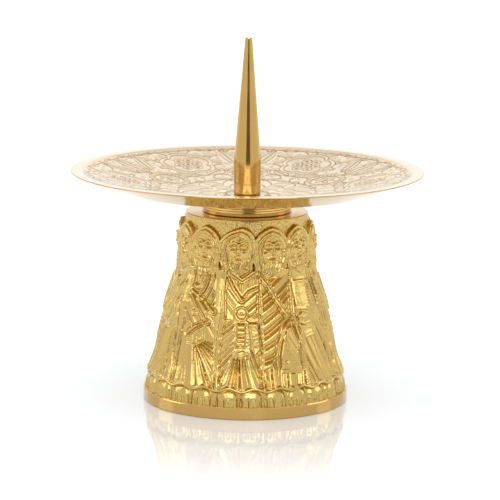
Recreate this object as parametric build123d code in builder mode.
from build123d import *
import os
from math import atan2, cos, degrees, radians, sin, sqrt

# A brass pricket candle stand. A hollow cast foot with a frieze of robed figures carries a turned
# collar, a dished drip pan and a pointed pricket. One threaded stud, screwed into the top web of the
# foot and locked by a nut from inside, holds the stack, and the pricket screws onto its upper end.
# Millimetres, +Z up, origin at the middle of the face that the stand rests on.

# The cast foot
FOOT_HEIGHT = 65.0
FOOT_RIM_RADIUS = 35.0
FOOT_RIM_HEIGHT = 4.1
FOOT_TOP_RADIUS = 20.9
FOOT_TOP_WEB = 7.0  # thickness of the closed top that holds the stud
FOOT_WALL = 3.4  # behind the ground of the frieze
CAVITY_MOUTH_FLARE = 2.8  # how far the hollow widens from the hem down to the table
EDGE_BREAK = 0.3  # chamfer on the turned edges

# The ground of the frieze, from which the figures stand out
RELIEF_DEPTH = 1.9
HEM_HEIGHT = 9.6  # the hem of the robes, above the bare feet
HEM_GROUND_RADIUS = 31.0
SHOULDER_DROP = 19.5  # the shoulders, below the foot's top
SHOULDER_GROUND_RADIUS = 22.2
HEM_ROLL_RADIUS = 1.1  # half the thickness of the corded hem
HEM_STAND_OUT = 2.7  # front of the hem over the ground
FEET_GROUND_STEP = 1.7  # the ground behind the bare feet, in front of the ground at the hem

# One figure of the frieze
FIGURE_COUNT = 12
FIGURE_FRONT_ANGLE = -94.5  # degrees about the axis, where the first figure stands
HEAD_DROP = 10.8  # middle of the head, below the foot's top
HEAD_HALF_HEIGHT = 8.4  # beard end to crown, with the part sunk in the ground
HEAD_ROUND_RADIUS = 6.0
HEAD_STAND_OUT = 1.4  # front of the face over the ground at the shoulders
HOOD_STAND_OUT = 1.2  # front of the hoods over the ground
HOOD_POINT_DROP = 2.4  # points of the hoods, below the foot's top
HOOD_VALLEY_DROP = 7.4  # where two hoods meet, below the foot's top
HOOD_HEM_DROP = 17.5  # lower edge of the hoods, below the foot's top
HOOD_ARCH_RADIUS = 9.0
HOOD_NOTCH_WIDTH_SHARE = 0.93  # of the space from point to point
ROBE_TOP_DROP = 16.5  # the shoulders of the robe, below the foot's top
ROBE_HEM_ROUND_RADIUS = 19.0
ROBE_SHOULDER_ROUND_RADIUS = 13.0
ROBE_FOLD_COUNT = 5
ROBE_FOLD_SPAN = 62.0  # degrees of the robe's round that carry folds
ROBE_HEM_FOLD_DEPTH = 0.7
ROBE_SHOULDER_FOLD_DEPTH = 0.8
HANDS_HEIGHT = 31.5  # the hands, with what they hold
HANDS_HALF_HEIGHT = 5.0
HANDS_ROUND_RADIUS = 4.0
HANDS_STAND_OUT = 0.6  # in front of the robe
BARE_FOOT_RADIUS = 3.2
BARE_FOOT_HALF_HEIGHT = 4.0
BARE_FOOT_RISE = 1.5  # middle of the form above the rim
BARE_FOOT_STAND_OUT = 0.1  # middle of the form in front of the ground
BARE_FOOT_PAIR_ANGLE_SHARE = 0.48  # of the step from figure to figure

# What some of the figures hold, the same on two that stand opposite each other
ALIKE_COUNT = 2
KEY_FIGURE = 0  # counted from the front figure, to its left
BOOK_FIGURE = 2
STAFF_FIGURE = 3
CASKET_FIGURE = 5
HELD_THICKNESS = 3.0  # most of it sunk in the robe
HELD_STAND_OUT = 0.4  # in front of the robe
KEY_HEIGHT = 27.5  # each height is the middle of the thing, over the table
KEY_LENGTH = 9.5
KEY_WIDTH = 3.4
KEY_RING_HEIGHT = 34.8
KEY_RING_RADIUS = 1.8
KEY_RING_THICKNESS = 1.0
BOOK_HEIGHT = 39.8
BOOK_LENGTH = 10.2
BOOK_WIDTH = 6.2
BOOK_ASIDE = -2.4  # from the middle of the figure
STAFF_HEIGHT = 29.0
STAFF_LENGTH = 36.0
STAFF_RADIUS = 0.9
STAFF_ASIDE = -4.1
SCROLL_HEIGHT = 37.5
SCROLL_LENGTH = 13.0
SCROLL_RADIUS = 1.5
SCROLL_ASIDE = 2.6
CASKET_HEIGHT = 27.0
CASKET_LENGTH = 6.0
CASKET_WIDTH = 8.0
CASKET_ASIDE = -2.2

# The turned collar between foot and pan
COLLAR_RADIUS = 15.2
COLLAR_HEIGHT = 3.7

# The dished drip pan
PAN_RADIUS = 60.0
PAN_RIM_WIDTH = 4.8  # the flat polished rim
PAN_RIM_STEP = 0.5  # from the rim down to the ornamented field
PAN_EDGE_THICKNESS = 0.4
PAN_BEVEL_WIDTH = 14.5  # the turned bevel under the rim
PAN_BEVEL_DROP = 5.4
PAN_DEPTH = 8.3  # rim to the seat of the pricket
PAN_SEAT_THICKNESS = 2.0
PAN_SEAT_RADIUS = 7.0
PAN_BOSS_OVERHANG = 0.4  # how far the turned boss underneath is wider than the collar
PAN_BOSS_HEIGHT = 0.6

# The pricket
PRICKET_RADIUS = 4.55
PRICKET_SHANK_HEIGHT = 12.0
PRICKET_CONE_HEIGHT = 41.3
PRICKET_TIP_RADIUS = 1.1
PRICKET_EDGE_BREAK = 0.25

# The M6 stud and what is screwed onto it
THREAD_RADIUS = 3.0
THREAD_END_CHAMFER = 0.6
THREAD_CLEARANCE = 0.05  # between plain cylinders that stand for mating threads
PASSING_CLEARANCE = 0.3  # where the stud only passes through
STUD_IN_PRICKET = 9.0
STUD_BELOW_NUT = 2.5
PRICKET_HOLE_RESERVE = 1.2  # drilled deeper than the stud reaches
DRILL_POINT_ANGLE = 118.0
WASHER_RADIUS = 6.0
WASHER_THICKNESS = 1.6
WASHER_CLEARANCE = 0.2
SPRING_WASHER_RADIUS = 5.9
SPRING_WASHER_THICKNESS = 1.6
SPRING_WASHER_GAP = 0.9
SPRING_WASHER_GAP_TILT = 25.0  # degrees
NUT_ACROSS_FLATS = 10.0
NUT_HEIGHT = 5.0
NUT_CHAMFER_ANGLE = 30.0

# Heights that follow from the stack
shoulder_height = FOOT_HEIGHT - SHOULDER_DROP
head_height = FOOT_HEIGHT - HEAD_DROP
collar_top = FOOT_HEIGHT + COLLAR_HEIGHT
pan_seat = collar_top + PAN_SEAT_THICKNESS
pan_rim_top = pan_seat + PAN_DEPTH
pricket_shoulder = pan_seat + PRICKET_SHANK_HEIGHT
pricket_tip = pricket_shoulder + PRICKET_CONE_HEIGHT
web_underside = FOOT_HEIGHT - FOOT_TOP_WEB
spring_washer_top = web_underside - WASHER_THICKNESS
nut_top = spring_washer_top - SPRING_WASHER_THICKNESS
nut_bottom = nut_top - NUT_HEIGHT
stud_bottom = nut_bottom - STUD_BELOW_NUT
stud_top = pan_seat + STUD_IN_PRICKET

mating_thread_radius = THREAD_RADIUS + THREAD_CLEARANCE
passing_radius = THREAD_RADIUS + PASSING_CLEARANCE
figure_step = 360 / FIGURE_COUNT


def dish_radius(inner, outer):
    """Radius of the sphere, centred on the axis, that passes through two (radius, height) points."""
    rise = outer[1] - inner[1]
    centre_above_inner = (outer[0] ** 2 - inner[0] ** 2 + rise**2) / (2 * rise)
    return sqrt(inner[0] ** 2 + centre_above_inner**2)


os.makedirs("parts", exist_ok=True)

# One robed figure, standing on the +X side: robe, head with hair and beard, and two bare feet
robe_height = FOOT_HEIGHT - ROBE_TOP_DROP - HEM_HEIGHT
robe_run = HEM_GROUND_RADIUS - SHOULDER_GROUND_RADIUS
robe_length = sqrt(robe_height**2 + robe_run**2)
robe_axis_radius = HEM_GROUND_RADIUS + RELIEF_DEPTH - ROBE_HEM_FOLD_DEPTH - ROBE_HEM_ROUND_RADIUS
shoulder_crest_radius = SHOULDER_GROUND_RADIUS + RELIEF_DEPTH
shoulder_axis_radius = shoulder_crest_radius - ROBE_SHOULDER_FOLD_DEPTH - ROBE_SHOULDER_ROUND_RADIUS
robe_axis_run = robe_axis_radius - shoulder_axis_radius
robe_plane = Plane(
    origin=(robe_axis_radius, 0, HEM_HEIGHT),
    x_dir=(robe_height, 0, robe_axis_run),
    z_dir=(-robe_axis_run, 0, robe_height),
)
robe_slope = degrees(atan2(robe_run, robe_height))
head_axis_radius = SHOULDER_GROUND_RADIUS + HEAD_STAND_OUT - HEAD_ROUND_RADIUS
hands_share = (HANDS_HEIGHT - HEM_HEIGHT) / robe_height
hands_axis_radius = (
    HEM_GROUND_RADIUS - hands_share * robe_run + RELIEF_DEPTH + HANDS_STAND_OUT - HANDS_ROUND_RADIUS
)
bare_foot_axis_radius = HEM_GROUND_RADIUS + BARE_FOOT_STAND_OUT
bare_foot_height = FOOT_RIM_HEIGHT + BARE_FOOT_RISE
bare_foot_pair_angle = BARE_FOOT_PAIR_ANGLE_SHARE * figure_step


def spheroid(half_width, half_height):
    """An upright half ellipse revolved about its own long axis."""
    with BuildPart() as form:
        with BuildSketch(Plane.XZ):
            with BuildLine():
                EllipticalCenterArc((0, 0), half_width, half_height, start_angle=-90, arc_size=180)
                Line((0, half_height), (0, -half_height))
            make_face()
        revolve(axis=Axis.Z)
    return form.part


def on_round(radius, angle):
    """A point of a circle about the sketch's middle."""
    return (radius * cos(radians(angle)), radius * sin(radians(angle)))


def folded_round(round_radius, fold_depth):
    """Outline of a robe cut across: a row of bulging folds in front, and one plain arc behind."""
    fold_angle = ROBE_FOLD_SPAN / ROBE_FOLD_COUNT
    for fold in range(ROBE_FOLD_COUNT):
        start_angle = fold * fold_angle - ROBE_FOLD_SPAN / 2
        ThreePointArc(
            on_round(round_radius, start_angle),
            on_round(round_radius + fold_depth, start_angle + fold_angle / 2),
            on_round(round_radius, start_angle + fold_angle),
        )
    ThreePointArc(
        on_round(round_radius, ROBE_FOLD_SPAN / 2),
        on_round(round_radius, 180),
        on_round(round_radius, -ROBE_FOLD_SPAN / 2),
    )


def held_place(height, aside, thickness):
    """Where a held thing sits: along the slope of the robe, sunk until only its front stands out."""
    share = (height - HEM_HEIGHT) / robe_height
    front_radius = HEM_GROUND_RADIUS - share * robe_run + RELIEF_DEPTH + HELD_STAND_OUT
    return Location((front_radius - thickness / 2, aside, height), (0, -robe_slope, 0))


def opposite(figure):
    """The places of a figure and of its like on the other side, counted from the front."""
    return PolarLocations(0, ALIKE_COUNT, FIGURE_FRONT_ANGLE + figure * figure_step)


head = spheroid(HEAD_ROUND_RADIUS, HEAD_HALF_HEIGHT)
hands = spheroid(HANDS_ROUND_RADIUS, HANDS_HALF_HEIGHT)
bare_foot = spheroid(BARE_FOOT_RADIUS, BARE_FOOT_HALF_HEIGHT)

with BuildPart() as robe:
    with BuildSketch(robe_plane):
        with BuildLine():
            folded_round(ROBE_HEM_ROUND_RADIUS, ROBE_HEM_FOLD_DEPTH)
        make_face()
    with BuildSketch(robe_plane.offset(robe_length)):
        with BuildLine():
            folded_round(ROBE_SHOULDER_ROUND_RADIUS, ROBE_SHOULDER_FOLD_DEPTH)
        make_face()
    loft(ruled=True)

# The hoods: one ring round all the heads, with a notch cut between each two pointed arches
hood_point = FOOT_HEIGHT - HOOD_POINT_DROP
hood_valley = FOOT_HEIGHT - HOOD_VALLEY_DROP
hood_hem = FOOT_HEIGHT - HOOD_HEM_DROP
hood_radius = SHOULDER_GROUND_RADIUS + HOOD_STAND_OUT
hood_root_radius = SHOULDER_GROUND_RADIUS - RELIEF_DEPTH
notch_half_width = HOOD_NOTCH_WIDTH_SHARE * hood_radius * sin(radians(figure_step / 2))
with BuildPart() as hoods:
    with BuildSketch(Plane.XZ):
        with BuildLine():
            Polyline(
                (hood_root_radius, hood_hem),
                (hood_radius, hood_hem),
                (FOOT_TOP_RADIUS + HOOD_STAND_OUT, hood_point),
                (hood_root_radius, hood_point),
                close=True,
            )
        make_face()
    revolve(axis=Axis.Z)
    with BuildPart(mode=Mode.PRIVATE) as notch:
        with BuildSketch(Plane.YZ.offset(hood_root_radius)):
            with BuildLine():
                RadiusArc((0, hood_valley), (notch_half_width, hood_point), HOOD_ARCH_RADIUS)
                Line((notch_half_width, hood_point), (-notch_half_width, hood_point))
                RadiusArc((-notch_half_width, hood_point), (0, hood_valley), HOOD_ARCH_RADIUS)
            make_face()
        extrude(amount=hood_radius)
    with PolarLocations(0, FIGURE_COUNT, FIGURE_FRONT_ANGLE + figure_step / 2):
        add(notch.part, mode=Mode.SUBTRACT)

# The foot casting: ground and rim turned as one profile, figures added round it, hollow cut last
cavity_hem_radius = HEM_GROUND_RADIUS - FOOT_WALL
cavity_mouth_radius = cavity_hem_radius + CAVITY_MOUTH_FLARE
cavity_top_radius = SHOULDER_GROUND_RADIUS - FOOT_WALL
with BuildPart() as foot_casting:
    with BuildSketch(Plane.XZ):
        with BuildLine():
            Polyline(
                (0, 0),
                (FOOT_RIM_RADIUS, 0),
                (FOOT_RIM_RADIUS, FOOT_RIM_HEIGHT),
                (HEM_GROUND_RADIUS + FEET_GROUND_STEP, FOOT_RIM_HEIGHT),
                (HEM_GROUND_RADIUS + FEET_GROUND_STEP, HEM_HEIGHT),
                (HEM_GROUND_RADIUS, HEM_HEIGHT),
                (SHOULDER_GROUND_RADIUS, shoulder_height),
                (FOOT_TOP_RADIUS, FOOT_HEIGHT),
                (0, FOOT_HEIGHT),
                close=True,
            )
        make_face()
    revolve(axis=Axis.Z)
    turned_edges = foot_casting.edges().filter_by(GeomType.CIRCLE).filter_by(
        lambda edge: edge.radius > FOOT_RIM_RADIUS - EDGE_BREAK or edge.center().Z > shoulder_height
    )
    chamfer(turned_edges, EDGE_BREAK)
    with PolarLocations(0, FIGURE_COUNT, FIGURE_FRONT_ANGLE):
        add(robe.part)
    with PolarLocations(head_axis_radius, FIGURE_COUNT, FIGURE_FRONT_ANGLE):
        with Locations((0, 0, head_height)):
            add(head)
    with PolarLocations(hands_axis_radius, FIGURE_COUNT, FIGURE_FRONT_ANGLE):
        with Locations((0, 0, HANDS_HEIGHT)):
            add(hands)
    add(hoods.part)
    with opposite(KEY_FIGURE):
        with Locations(held_place(KEY_HEIGHT, 0, HELD_THICKNESS)):
            Box(HELD_THICKNESS, KEY_WIDTH, KEY_LENGTH)
        with Locations(held_place(KEY_RING_HEIGHT, 0, KEY_RING_THICKNESS)):
            Torus(KEY_RING_RADIUS, KEY_RING_THICKNESS / 2, rotation=(0, 90, 0))
    with opposite(BOOK_FIGURE):
        with Locations(held_place(BOOK_HEIGHT, BOOK_ASIDE, HELD_THICKNESS)):
            Box(HELD_THICKNESS, BOOK_WIDTH, BOOK_LENGTH)
    with opposite(STAFF_FIGURE):
        with Locations(held_place(STAFF_HEIGHT, STAFF_ASIDE, 2 * STAFF_RADIUS)):
            Cylinder(STAFF_RADIUS, STAFF_LENGTH)
        with Locations(held_place(SCROLL_HEIGHT, SCROLL_ASIDE, 2 * SCROLL_RADIUS)):
            Cylinder(SCROLL_RADIUS, SCROLL_LENGTH)
    with opposite(CASKET_FIGURE):
        with Locations(held_place(CASKET_HEIGHT, CASKET_ASIDE, HELD_THICKNESS)):
            Box(HELD_THICKNESS, CASKET_WIDTH, CASKET_LENGTH)
    for side in (-1, 1):
        first_foot_angle = FIGURE_FRONT_ANGLE + side * bare_foot_pair_angle / 2
        with PolarLocations(bare_foot_axis_radius, FIGURE_COUNT, first_foot_angle):
            with Locations((0, 0, bare_foot_height)):
                add(bare_foot)
    with Locations((0, 0, HEM_HEIGHT)):
        Torus(HEM_GROUND_RADIUS + HEM_STAND_OUT - HEM_ROLL_RADIUS, HEM_ROLL_RADIUS)
    with BuildSketch(Plane.XZ):
        with BuildLine():
            Polyline(
                (0, 0),
                (cavity_mouth_radius, 0),
                (cavity_hem_radius, HEM_HEIGHT),
                (cavity_top_radius, shoulder_height),
                (cavity_top_radius, web_underside),
                (0, web_underside),
                close=True,
            )
        make_face()
    revolve(axis=Axis.Z, mode=Mode.SUBTRACT)
    with Locations((0, 0, FOOT_HEIGHT)):
        Hole(mating_thread_radius, FOOT_TOP_WEB)
foot_casting.part.label = "foot_casting"
export_step(foot_casting.part, "parts/foot_casting.step")

# The collar, a plain turned ring
with BuildPart() as neck_collar:
    with BuildSketch(Plane.XY.offset(FOOT_HEIGHT)):
        Circle(COLLAR_RADIUS)
        Circle(passing_radius, mode=Mode.SUBTRACT)
    extrude(amount=COLLAR_HEIGHT)
    chamfer(neck_collar.edges().filter_by(GeomType.CIRCLE), EDGE_BREAK)
neck_collar.part.label = "neck_collar"
export_step(neck_collar.part, "parts/neck_collar.step")

# The drip pan: flat rim, step, spherical dish, flat seat, and underneath a turned boss, a cone and a bevel
field_edge = (PAN_RADIUS - PAN_RIM_WIDTH, pan_rim_top - PAN_RIM_STEP)
seat_edge = (PAN_SEAT_RADIUS, pan_seat)
boss_edge = (COLLAR_RADIUS + PAN_BOSS_OVERHANG, collar_top + PAN_BOSS_HEIGHT)
under_edge = (PAN_RADIUS, pan_rim_top - PAN_EDGE_THICKNESS)
bevel_edge = (PAN_RADIUS - PAN_BEVEL_WIDTH, under_edge[1] - PAN_BEVEL_DROP)
with BuildPart() as drip_pan:
    with BuildSketch(Plane.XZ):
        with BuildLine():
            Polyline(
                under_edge,
                (PAN_RADIUS, pan_rim_top),
                (field_edge[0], pan_rim_top),
                field_edge,
            )
            RadiusArc(field_edge, seat_edge, dish_radius(seat_edge, field_edge))
            Polyline(
                seat_edge,
                (passing_radius, pan_seat),
                (passing_radius, collar_top),
                (boss_edge[0], collar_top),
                boss_edge,
                bevel_edge,
                under_edge,
            )
        make_face()
    revolve(axis=Axis.Z)
drip_pan.part.label = "drip_pan"
export_step(drip_pan.part, "parts/drip_pan.step")

# The pricket: shank, long cone and blunt tip, with a blind tapped hole from below
pricket_hole_top = stud_top + PRICKET_HOLE_RESERVE
drill_point_height = mating_thread_radius * cos(radians(DRILL_POINT_ANGLE / 2)) / sin(
    radians(DRILL_POINT_ANGLE / 2)
)
with BuildPart() as pricket:
    with BuildSketch(Plane.XZ):
        with BuildLine():
            Polyline(
                (mating_thread_radius, pan_seat),
                (PRICKET_RADIUS - PRICKET_EDGE_BREAK, pan_seat),
                (PRICKET_RADIUS, pan_seat + PRICKET_EDGE_BREAK),
                (PRICKET_RADIUS, pricket_shoulder),
                (PRICKET_TIP_RADIUS, pricket_tip),
                (0, pricket_tip),
                (0, pricket_hole_top + drill_point_height),
                (mating_thread_radius, pricket_hole_top),
                close=True,
            )
        make_face()
    revolve(axis=Axis.Z)
pricket.part.label = "pricket"
export_step(pricket.part, "parts/pricket.step")

# The threaded stud, a plain cylinder at the thread's outer diameter with chamfered ends
with BuildPart() as threaded_stud:
    with BuildSketch(Plane.XY.offset(stud_bottom)):
        Circle(THREAD_RADIUS)
    extrude(amount=stud_top - stud_bottom)
    chamfer(threaded_stud.edges().filter_by(GeomType.CIRCLE), THREAD_END_CHAMFER)
threaded_stud.part.label = "threaded_stud"
export_step(threaded_stud.part, "parts/threaded_stud.step")

# The flat washer under the top web
with BuildPart() as flat_washer:
    with BuildSketch(Plane.XY.offset(spring_washer_top)):
        Circle(WASHER_RADIUS)
        Circle(THREAD_RADIUS + WASHER_CLEARANCE, mode=Mode.SUBTRACT)
    extrude(amount=WASHER_THICKNESS)
flat_washer.part.label = "flat_washer"
export_step(flat_washer.part, "parts/flat_washer.step")

# The spring washer, pressed flat, with its slanting split
spring_washer_plane = Plane.XY.offset(nut_top)
split_middle = (SPRING_WASHER_RADIUS, 0, nut_top + SPRING_WASHER_THICKNESS / 2)
with BuildPart() as spring_washer:
    with BuildSketch(spring_washer_plane):
        Circle(SPRING_WASHER_RADIUS)
        Circle(THREAD_RADIUS + WASHER_CLEARANCE, mode=Mode.SUBTRACT)
    extrude(amount=SPRING_WASHER_THICKNESS)
    with Locations(Location(split_middle, (SPRING_WASHER_GAP_TILT, 0, 0))):
        Box(
            2 * SPRING_WASHER_RADIUS,
            SPRING_WASHER_GAP,
            2 * SPRING_WASHER_THICKNESS,
            mode=Mode.SUBTRACT,
        )
spring_washer.part.label = "spring_washer"
export_step(spring_washer.part, "parts/spring_washer.step")

# The hexagon nut, its corners turned off at both ends
nut_corner_radius = NUT_ACROSS_FLATS / sqrt(3)
nut_flat_radius = NUT_ACROSS_FLATS / 2
corner_drop = (nut_corner_radius - nut_flat_radius) * sin(radians(NUT_CHAMFER_ANGLE)) / cos(
    radians(NUT_CHAMFER_ANGLE)
)
with BuildPart() as hex_nut:
    with BuildSketch(Plane.XY.offset(nut_bottom)):
        RegularPolygon(nut_flat_radius, 6, major_radius=False)
    extrude(amount=NUT_HEIGHT)
    with BuildSketch(Plane.XZ):
        with BuildLine():
            Polyline(
                (0, nut_bottom),
                (nut_flat_radius, nut_bottom),
                (nut_corner_radius, nut_bottom + corner_drop),
                (nut_corner_radius, nut_top - corner_drop),
                (nut_flat_radius, nut_top),
                (0, nut_top),
                close=True,
            )
        make_face()
    revolve(axis=Axis.Z, mode=Mode.INTERSECT)
    with Locations((0, 0, nut_top)):
        Hole(mating_thread_radius, NUT_HEIGHT)
hex_nut.part.label = "hex_nut"
export_step(hex_nut.part, "parts/hex_nut.step")
